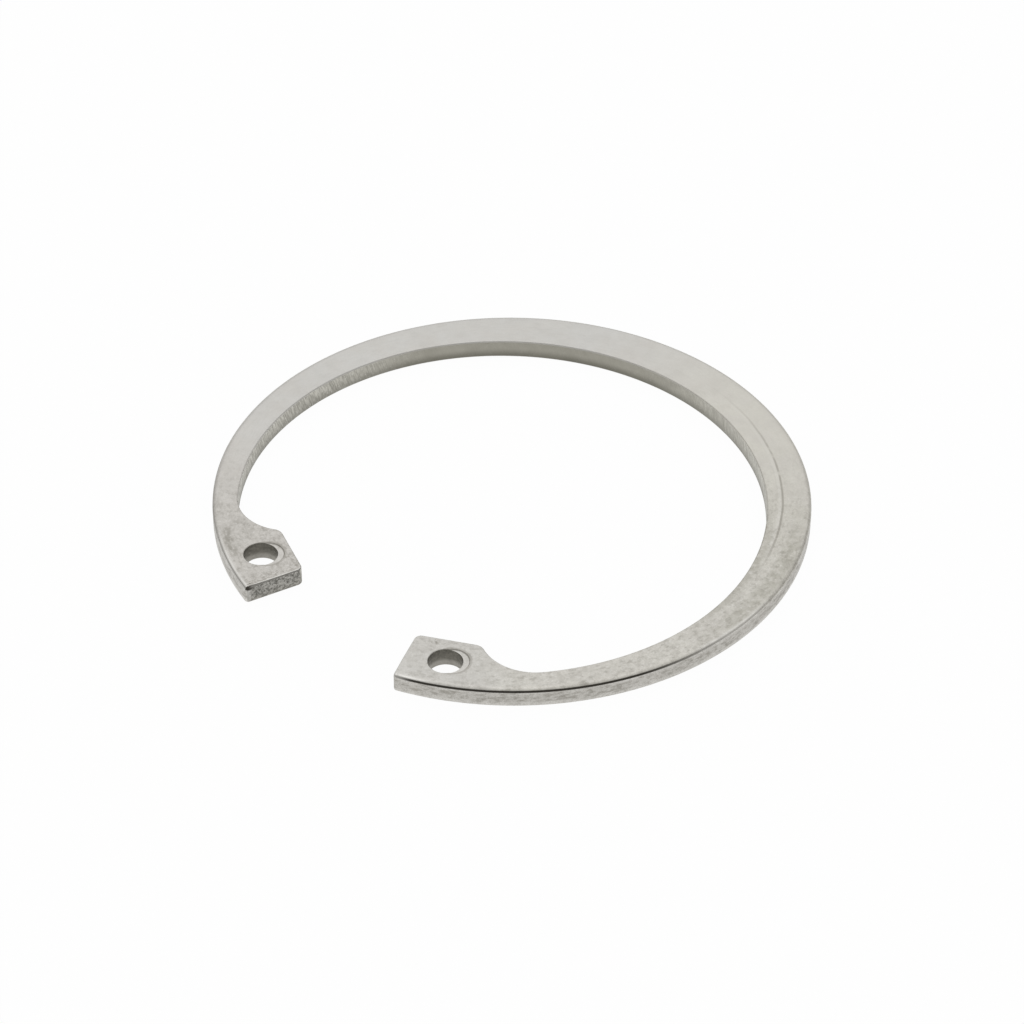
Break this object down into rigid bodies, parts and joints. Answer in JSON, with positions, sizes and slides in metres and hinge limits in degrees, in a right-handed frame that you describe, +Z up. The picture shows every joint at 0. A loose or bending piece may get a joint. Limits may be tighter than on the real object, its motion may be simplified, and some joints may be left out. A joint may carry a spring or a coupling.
{
  "type": "internal retaining ring",
  "caption": "Flat open spring ring that snaps into a groove inside a bore, with a tapering band and a pierced lug on each side of its gap for plier tips.",
  "frame": {"origin": "centre of the round outer edge, on the lower face that the ring lies on", "axes": "+Z up through the ring, square to its faces; -Y through the middle of the gap; +X towards the right lug"},
  "size_m": [0.0744, 0.0724, 0.0025],
  "materials": {
    "ring_steel": "tumbled satin stainless steel, lightly scuffed"
  },
  "bodies": {
    "root": {"retaining_ring": "ring_steel"}
  },
  "joints": []
}
